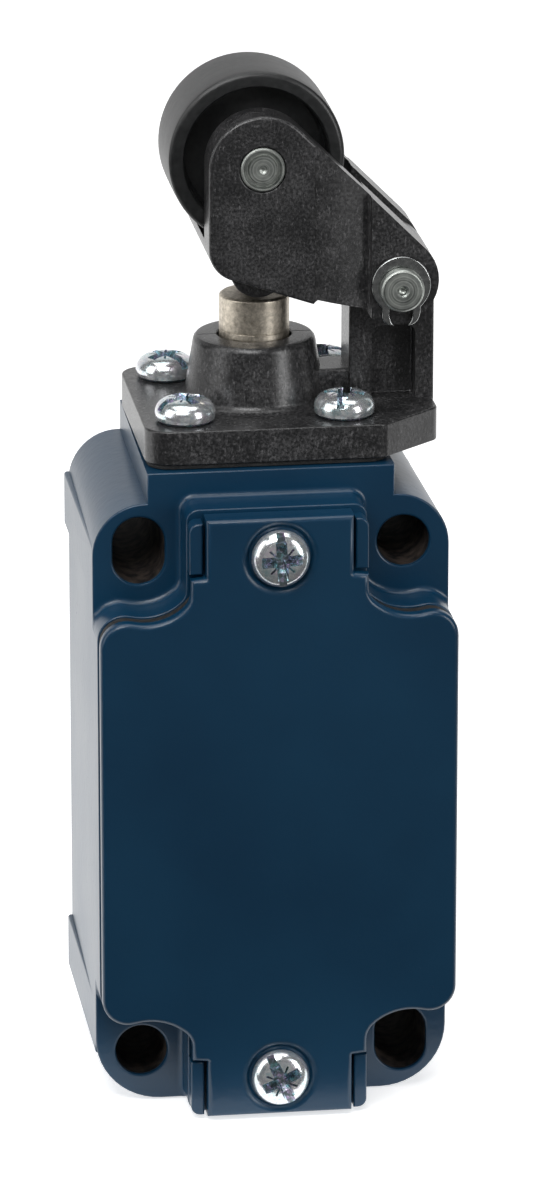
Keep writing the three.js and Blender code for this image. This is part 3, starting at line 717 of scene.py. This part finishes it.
HOLE_R, SLOT = 2.95, 0.95
for side in (-1, 1):
    for end in (-1, 1):
        x, z = side * HOLE_X, end * HOLE_Z
        reach = SLOT if side * end < 0 else 0
        outline = arc(x, z + reach, HOLE_R, 0, 180, 20) + arc(x, z - reach, HOLE_R, 180, 360, 20)
        outline = outline if reach else circle(x, z, HOLE_R, 40)
        cut(housing, hole_cutter("mounting_hole", outline, SHOULDER_Y, 0))
for end in (-1, 1):
    cut(housing, slab("cover_screw_hole", circle(0, end * 31, 1.9, 24), (RIM_Y - 1, -26.6)))
HEAD_SCREWS = [(x, AXIS_Y + y) for y in (-9.04, 9.04) for x in (-9.04, 9.04)]
for x, y in HEAD_SCREWS:
    cut(housing, slab("head_screw_hole", circle(x, y, 1.9, 24), (30.5, 40), along="Z"))
cut(housing, turned("neck_bore", [(0, 24.2), (4.6, 24.2), (4.6, 28), (7, 28), (7, 40), (0, 40)],
                    (0, AXIS_Y, 0)))

# %% [markdown]
# The cable entry has a metric thread with a 1.5 mm pitch. A true helix would cost many faces for
# a detail seen only from below, so its grooves are closed rings cut by one turned profile.

# %% Cable entry
thread = [(0, -37), (10.7, -37), (10.7, -36), (10.0, -35.3)]
for i in range(6):
    start = -35.0 + i * 1.5
    thread += [(10.0, start), (10.55, start + 0.5), (10.55, start + 0.7), (10.0, start + 1.2)]
thread += [(10.0, -24.2), (0, -24.2)]
cut(housing, turned("entry_thread", thread, (0, -15.1, 0), steps=72))
settle(housing, navy, "navy_paint", "body", "housing")

# %% Painted shade on the hole walls
# The faces inside the mounting holes get the dark finish, which is painted shade.
housing.data.materials.append(hole_shade.material)
shaded_hole_faces = 0
for polygon in housing.data.polygons:
    x, y, z = (v / MM for v in polygon.center)
    past = max(0, abs(abs(z) - HOLE_Z) - (SLOT if x * z < 0 else 0))
    if math.hypot(abs(x) - HOLE_X, past) < HOLE_R + 0.05 and SHOULDER_Y + 0.3 < y < -0.3:
        polygon.material_index = 1
        shaded_hole_faces += 1
print("hole wall faces:", shaded_hole_faces)

# %% [markdown]
# ## Cover and gasket
# The cover is a flat casting with softly rounded front edges. Two tongues reach over the shoulders
# of the housing, each with a shallow dish for its screw. A black foam gasket closes the joint.

# %% Cover
cover_corners = [(8.3, 35.6), (8.3, 28.85, 0.12), (10.0, 28.65), (10.0, 25.97, 2.4)]
cover = slab("cover_plate", cover_outline(0, cover_corners), (FRONT_Y, FRONT_Y + 1.4),
             (0.6, 0.1), steps=6)
tongue = rounded((8.3, 35.6), (-8.3, 35.6), (-8.3, 28.4), (8.3, 28.4))
for end in (-1, 1):
    flat = [(x, end * z) for x, z in tongue]
    join(cover, slab("tongue", flat, (FRONT_Y + 1.0, RIM_Y - 0.1), (0, 0.2)))
join(cover, slab("cover_lip", inner_outline(WALL), (FRONT_Y + 0.9, RIM_Y - 0.2), (0, 0.3)))
for end in (-1, 1):
    dish = [(0, 1), (4.6, 1), (4.6, 0.02), (4.3, -0.03), (4.0, -0.13), (3.75, -0.3), (3.6, -0.5),
            (3.5, -0.6), (2.1, -0.6), (2.1, -5), (0, -5)]
    cut(cover, turned("dish", dish, (0, FRONT_Y, end * 31), "front"))
settle(cover, navy, "navy_paint", "body", "cover")

# %% Cover gasket
gasket = slab("foam_gasket", inner_outline(0.15), (-36.55, -34.85), (0.3, 0.3))
cut(gasket, slab("gasket_inner", inner_outline(2.3), (-38, -34)))
settle(gasket, rubber, "black_rubber", "body", "cover_gasket")

# %% [markdown]
# ## Screws
# Every outer screw has a domed head with a cross recess and a slot, so that any driver fits. The
# head is turned, its recess is cut with a tapered cross, and the screw is copied to its places.


# %% Screw
def cross(arm, half):
    return [(arm, -half), (arm, half), (half, half), (half, arm), (-half, arm), (-half, half),
            (-arm, half), (-arm, -half), (-half, -half), (-half, -arm), (half, -arm),
            (half, -half)]


def make_screw(name, radius, height, length):
    """A pan head that stands on z = 0, with its shank below."""
    profile = [(0, -length), (1.2, -length), (1.65, -length + 0.8)]
    for i in range(int((length - 2.0) / 0.7)):
        z = -length + 1.0 + i * 0.7
        profile += [(1.45, z), (1.75, z + 0.35)]
    profile += [(1.45, -0.9), (1.45, 0), (radius * 0.9, 0), (radius * 0.97, height * 0.1)]
    profile += [(radius * math.cos(a) ** 0.5, height * (0.32 + 0.68 * math.sin(a)))
                for a in [math.radians(d) for d in (0, 15, 30, 45, 58, 70, 80, 86)]]
    profile += [(0, height)]
    screw = turned(name, profile, steps=56)
    top = height + 0.5
    slot = slab("slot", rounded((-radius - 1, -0.45), (radius + 1, -0.45), (radius + 1, 0.45),
                                (-radius - 1, 0.45)), (height * 0.55, top), along="Z")
    rings = [[(x, y, z) for x, y in rounded(*[(*p, 0.08) for p in cross(arm, half)], steps=2)]
             for arm, half, z in ((0.9, 0.34, 0.25), (1.5, 0.46, height * 0.5),
                                  (2.3, 0.62, height * 0.93), (2.45, 0.68, top))]
    cut(screw, slot, build_up("cross", rings))
    ticks = cross(1.9, 0.12)
    corner = math.sqrt(0.5)
    turned_ticks = [((x - y) * corner, (x + y) * corner) for x, y in ticks]
    cut(screw, slab("ticks", turned_ticks, (height * 0.72, top), along="Z"))
    return screw


def copy_of(piece, name):
    """A copy with a mesh of its own."""
    deselect()
    piece.select_set(True)
    bpy.context.view_layer.objects.active = piece
    bpy.ops.object.duplicate(linked=False)
    twin = bpy.context.object
    twin.name = twin.data.name = name
    return twin


cover_screw = make_screw("pan_screw_top", 3.3, 2.15, 9)
flange_screw = make_screw("flange_screw_1", 3.45, 2.6, 11.5)
placed = []
for name, twin, end, turn in (("cover_screw_top", cover_screw, 1, 1.62),
                              ("cover_screw_bottom", copy_of(cover_screw, "pan_screw_bottom"),
                               -1, 2.0)):
    set_down(twin, (0, 0, 0), (0, 0, turn))
    set_down(twin, (0, FRONT_Y + 0.6, end * 31), (math.pi / 2, 0, 0))
    placed.append((twin, name))
flange_twins = [flange_screw] + [copy_of(flange_screw, f"flange_screw_{n}") for n in (2, 3, 4)]
for number, (twin, (x, y)) in enumerate(zip(flange_twins, HEAD_SCREWS)):
    set_down(twin, (x, y, 43.6), (0, 0, 0.4 + number * 0.9))
    placed.append((twin, f"head_screw_{number + 1}"))
for twin, node in placed:
    settle(twin, zinc, "zinc_plate", "body", node)


# %% Painted shade in the screw recesses
def mark_recess(screw, radius, height, place, upright):
    """Gives the faces that lie below the dome of a screw's head the darker zinc, a painted shade."""
    screw.data.materials.append(zinc_recess_shade.material)
    for polygon in screw.data.polygons:
        x, y, z = (v / MM - p for v, p in zip(polygon.center, place))
        aside, above = (math.hypot(x, y), z) if upright else (math.hypot(x, z), -y)
        if aside < radius * 0.97 and above > 0.1:
            dome = height * (0.32 + 0.68 * math.sqrt(1 - (aside / radius) ** 4))
            if above < dome - 0.08:
                polygon.material_index = 1


for twin, node in placed[:2]:
    end = 1 if node.endswith("top") else -1
    mark_recess(twin, 3.3, 2.15, (0, FRONT_Y + 0.6, end * 31), False)
for (twin, node), (x, y) in zip(placed[2:], HEAD_SCREWS):
    mark_recess(twin, 3.45, 2.6, (x, y, 43.6), True)
print("screws with a marked recess:", len(placed))

# %% [markdown]
# ## Actuator head
# The head is moulded in one piece: a flange held by four screws, a cone that guides the plunger and
# a post like an I-beam that carries the lever's pivot. Its parts are extruded or turned and joined,
# and the bores are cut last, so that they stay round.

# %% Head moulding
FLANGE = (39.6, 43.5)
flange_outline = rounded((12.9, AXIS_Y - 13.75, 1.8), (19.95, AXIS_Y - 7.4, 1.8),
                         (19.95, AXIS_Y + 7.4, 1.8), (12.9, AXIS_Y + 13.75, 1.8),
                         (-13.9, AXIS_Y + 13.75, 3), (-13.9, AXIS_Y - 13.75, 3), steps=8)
head = slab("head_moulding", flange_outline, FLANGE, (0.15, 0.22), along="Z")
cone = [(0, 43), (9.1, 43), (9.1, 43.45)]
cone += [(9.0 - 1.1 * math.sin(a), 44.6 - 1.1 * math.cos(a))
         for a in [math.radians(d) for d in (0, 22, 45, 68, 84)]]
cone += [(6.99, 50.1), (6.88, 50.5), (6.6, 50.8), (6.2, 50.9), (0, 50.9)]
rib = slab("rib", rounded((4.5, AXIS_Y - 2.8), (11.5, AXIS_Y - 2.8), (11.5, AXIS_Y + 2.8),
                          (4.5, AXIS_Y + 2.8)), (42.5, 47), (0, 0.4), along="Z")
POST_HALF = 3.3
post_outline = ([(10.4, 42.5), (20.15, 42.5)] + arc(15.3, 58.2, 4.85, 0, 180, 24))
post = slab("post", post_outline, (AXIS_Y - POST_HALF, AXIS_Y + POST_HALF), (0.35, 0.35))
join(head, turned("cone", cone, (0, AXIS_Y, 0), steps=72), rib, post)
pocket = rounded((13, 43.5, 0.3), (18, 43.5, 0.3), (18, 52.1, 1.1), (13, 52.1, 1.1))
cut(head, slab("pocket_front", pocket, (AXIS_Y - 5, AXIS_Y - 1), (0, 0.25)),
    slab("pocket_back", pocket, (AXIS_Y + 1, AXIS_Y + 5), (0.25, 0)))
cut(head, turned("chamber", [(0, 38), (6.7, 38), (6.7, 44.1), (5.5, 44.1), (5.5, 50.1),
                             (4.25, 50.1), (4.25, 50.75), (4.45, 51), (0, 51)],
                 (0, AXIS_Y, 0), steps=72),
    slab("pivot_bore", circle(15.3, 58.2, 2.6), (AXIS_Y - 5, AXIS_Y + 5)))
cut(head, box("parting_line", (-8, 8), (AXIS_Y - 0.09, AXIS_Y + 0.09), (50.82, 52)))
for x, y in HEAD_SCREWS:
    cut(head, slab("screw_hole", circle(x, y, 2.2, 32), (38, 45), along="Z"))
settle(head, head_plastic, "head_plastic", "body", "actuator_head")

# %% Head gasket
sheet_half = 13.45
sheet = rounded((-13.6, AXIS_Y - sheet_half, 2.5), (13.6, AXIS_Y - sheet_half, 2.5),
                (13.6, AXIS_Y + sheet_half, 2.5), (-13.6, AXIS_Y + sheet_half, 2.5))
sheet_gasket = slab("head_sheet_gasket", sheet, (39.05, 39.55), (0.1, 0.1), along="Z")
cut(sheet_gasket, slab("opening", circle(0, AXIS_Y, 7), (38, 41), along="Z"))
for x, y in HEAD_SCREWS:
    cut(sheet_gasket, slab("screw_hole", circle(x, y, 2.2, 32), (38, 41), along="Z"))
settle(sheet_gasket, rubber, "black_rubber", "body", "head_gasket")

# %% [markdown]
# ## Plunger and bush
# The plunger slides in a sintered bronze bush that is moulded into the cone. Both are turned, and
# the plunger has a fine groove near the cone.

# %% Bush and plunger
bush = turned("bronze_bush", [(4.15, 44.4), (4.3, 44.2), (5.2, 44.2), (5.35, 44.35),
                              (5.35, 49.85), (5.2, 50.0), (4.3, 50.0), (4.15, 49.8)],
              (0, AXIS_Y, 0))
settle(bush, bronze, "bronze", "body", "guide_bush")
plunger = turned("plunger_rod", [
    (0, 24.8), (3.5, 24.8), (3.9, 25.0), (4.0, 25.3), (4.0, 36.9), (3.8, 37.2), (6.0, 37.2),
    (6.2, 37.4), (6.2, 38.5), (6.0, 38.7), (4.0, 38.7), (4.0, 51.5), (3.95, 51.55),
    (3.95, 51.65), (4.0, 51.7), (4.0, 55.3), (3.95, 55.45), (3.7, 55.64),
    (3.55, 55.66), (0, 55.66)], (0, AXIS_Y, 0), steps=72)
settle(plunger, plunger_steel, "plunger_steel", "plunger", "plunger")

# %% [markdown]
# ## Lever
# The lever is a fork of two plates joined by a web below the roller. Its lobes at the pivot stand
# proud of the plates, and a hollow scoop leads up to them. One side view serves the plates and the
# lobes, so that their edges line up.

# %% Lever outline
lobe = arc(14.7, 58.9, 5, -122.6, 45, 18)
top = arc(-0.35, 72.45, 6.05, 45, 180, 20)
lower_left = arc(-2.7, 63.3, 3.7, 180, 254.5, 10)
lever_outline = lobe + top + lower_left + [(5.4, 56.7), (5.9, 57.1), (12, 55.4)]
HALF, INNER, LOBE_INNER = 10.3, 5.85, 3.8


# %% Lever body
lever = slab("lever_fork", lever_outline, (AXIS_Y - HALF, AXIS_Y + HALF), (0.4, 0.4))
join(lever, slab("pad", circle(0, 59.16, 3.2), (AXIS_Y - 3.9, AXIS_Y + 3.9), (0.3, 0.3)))
roller_room = [(11.6, 50), (11.6, 90), (-20, 90), (-20, 66)]
roller_room += arc(-0.35, 72.45, 10.7, 217.1, 322.9, 40) + [(8.2, 50)]
post_room = [(11, 50), (30, 50), (30, 90), (11, 90)]
cut(lever, slab("roller_room", roller_room, (AXIS_Y - INNER, AXIS_Y + INNER)),
    slab("post_room", post_room, (AXIS_Y - LOBE_INNER, AXIS_Y + LOBE_INNER)))
print("lever with its rooms, open edges:", open_edges(lever))

# %% Lever scoops and bores
for side in (-1, 1):
    dip = [(5.46, HALF - 0.5), (7.5, HALF - 0.78), (9.5, HALF - 1.3), (11.3, HALF - 1.95),
           (11.8, HALF - 2.0), (12.05, HALF - 1.8), (12.05, HALF - 0.95), (30, HALF - 0.95),
           (30, HALF + 1), (5.46, HALF + 1)]
    cut(lever, slab("scoop", [(x, AXIS_Y + side * y) for x, y in dip], (40, 90), along="Z"))
cut(lever, hole_cutter("pivot_bore", circle(15.3, 58.2, 2.65), AXIS_Y - HALF + 0.95,
                       AXIS_Y + HALF - 0.95, 0.2),
    hole_cutter("roller_bore", circle(-0.35, 72.45, 2.6), AXIS_Y - HALF, AXIS_Y + HALF, 0.2))
settle(lever, head_plastic, "head_plastic", "lever", "roller_lever")

# %% [markdown]
# ## Roller and pins
# These are turned parts. The roller is dished on both sides so that only its rim and hub are wide.
# Each pin end carries what its lathe left: a chamfer, a groove and a centre mark.

# %% Roller
half = 5.25
side_profile = [(2.7, half), (4.4, half), (4.6, half - 0.2), (4.6, 2.0), (5.0, 1.6), (7.76, 1.6),
                (8.16, 2.0), (8.16, half - 0.2), (8.36, half), (9.35, half), (9.7, half - 0.12),
                (9.9, half - 0.35), (9.97, half - 0.8), (10.0, 2.0)]
roller_profile = side_profile + [(r, -h) for r, h in reversed(side_profile)]
roller = turned("roller_wheel", roller_profile, ROLLER, "front", steps=96)
settle(roller, roller_plastic, "roller_plastic", "roller", "roller")

# %% Pins
end = HALF + 0.05
pin_end = [(2.5, end - 0.15), (2.35, end), (2.1, end), (2.0, end - 0.45), (1.66, end - 0.45),
           (1.55, end - 0.06), (0.5, end - 0.06), (0.35, end - 0.2), (0, end - 0.35)]
pin_profile = [(r, -h) for r, h in reversed(pin_end)] + pin_end
roller_pin = turned("roller_axle", pin_profile, ROLLER, "front")
settle(roller_pin, roller_pin_steel, "pin_steel", "lever", "roller_pin")
pivot_profile = [(0, -11.9), (2.85, -11.9), (3.1, -11.8), (3.2, -11.6), (3.2, -10.7), (3.1, -10.6),
                 (2.5, -10.6), (2.5, 9.5), (1.95, 9.5), (1.95, 10.3), (2.5, 10.3), (2.5, 11.0),
                 (2.42, 11.2), (2.2, 11.38), (2.05, 11.4), (0.7, 11.4), (0.5, 11.25), (0.4, 10.9),
                 (0, 10.6)]
pivot_pin = turned("pivot_axle", pivot_profile, PIVOT, "front")
settle(pivot_pin, pivot_pin_steel, "pin_steel", "body", "pivot_pin")

# %% [markdown]
# ## Clip and springs
# The pivot pin is kept by a stamped ring with two bent legs. The springs are wire swept along a
# helix by the Screw modifier.


# %% Pivot clip
def curve(start, pull, end, steps=6):
    """A bow from start to end, pulled towards a third point."""
    points = []
    for i in range(1, steps + 1):
        t = i / steps
        points.append(tuple((1 - t) ** 2 * a + 2 * t * (1 - t) * b + t * t * c
                            for a, b, c in zip(start, pull, end)))
    return points


left_leg = curve((-0.75, -4.35), (-2.3, -4.2), (-2.15, -2.9))
outer = arc(0, 0.35, 3.35, 228.7, -48.7, 40)
right_leg = curve(outer[-1], (2.3, -4.2), (0.75, -4.35))
inner_leg = curve((0.75, -4.35), (1.6, -3.4), (1.15, -2.2))
inner_arc = arc(0, 0, 2.1, -56.1, 236.1, 36)
last_leg = curve(inner_arc[-1], (-1.6, -3.4), (-0.75, -4.35))[:-1]
clip_outline = [(-0.75, -4.35)] + left_leg + outer + right_leg + inner_leg + inner_arc + last_leg
clip_outline = [(PIVOT[0] + x, PIVOT[2] + z) for x, z in clip_outline]
clip = slab("retaining_clip", clip_outline, (AXIS_Y - 10.2, AXIS_Y - 9.6), (0.16, 0.08), steps=3)
settle(clip, clip_steel, "spring_steel", "body", "pivot_clip")


# %% Springs
def helix(name, radius, wire, low, high, turns, centre_y):
    """Wire of a round section wound about an upright axis."""
    deselect()
    bpy.ops.mesh.primitive_circle_add(vertices=12, radius=wire * MM, fill_type="NOTHING",
                                      location=(radius * MM, 0, (low + wire) * MM),
                                      rotation=(math.pi / 2, 0, 0))
    spring = bpy.context.object
    spring.name = spring.data.name = name
    bpy.ops.object.transform_apply(location=True, rotation=True, scale=True)
    modifier = spring.modifiers.new("Screw", "SCREW")
    modifier.angle = 2 * math.pi * turns
    modifier.screw_offset = (high - low - 2 * wire) * MM
    modifier.steps = modifier.render_steps = int(28 * turns)
    bpy.ops.object.modifier_apply(modifier=modifier.name)
    bpy.ops.object.mode_set(mode="EDIT")
    bpy.ops.mesh.select_all(action="SELECT")
    bpy.ops.mesh.fill_holes(sides=0)
    bpy.ops.object.mode_set(mode="OBJECT")
    tidy_normals(spring)
    set_down(spring, (0, centre_y, 0))
    return spring


for name, node, joint, radius, wire, low, high, turns in (
        ("plunger_coil", "plunger_spring", "plunger_slide", 5.5, 0.45, 28.3, 37.0, 3.5),
        ("carriage_coil", "carriage_spring", "carriage_slide", 2.6, 0.35, -18.8, -9.2, 5)):
    spring = helix(name, radius, wire, low, high, turns, AXIS_Y)
    settle(spring, spring_steel, "spring_steel", "body", node)
    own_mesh(spring)

# %% [markdown]
# ## Inner pieces
# The contact block and its metal parts stay as the frame gives them. They are plain shapes in
# the real switch too, so they only need a finish.

# %% Finishes of the inner pieces
inner = {
    block_moulding: ["contact_block"],
    pale_moulding: ["contact_block_cover", "contact_carriage"],
    silver: ["bridge_opening", "bridge_closing"],
    spring_steel: ["bridge_spring_opening", "bridge_spring_closing"],
    rubber: ["plunger_seal"],
    brass: [f"fixed_contact_{kind}_{side}" for kind in ("opening", "closing")
            for side in ("left", "right")],
    zinc: [f"{part}_{kind}_{side}" for part in ("terminal_clamp", "terminal_screw")
           for kind in ("opening", "closing") for side in ("left", "right")]
    + ["block_screw_left", "block_screw_right", "earth_clamp", "earth_screw"],
}
for finish, nodes in inner.items():
    for node in nodes:
        for material_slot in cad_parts[node].material_slots:
            material_slot.material = finish.material
        print(node, "is", finish.material.name)
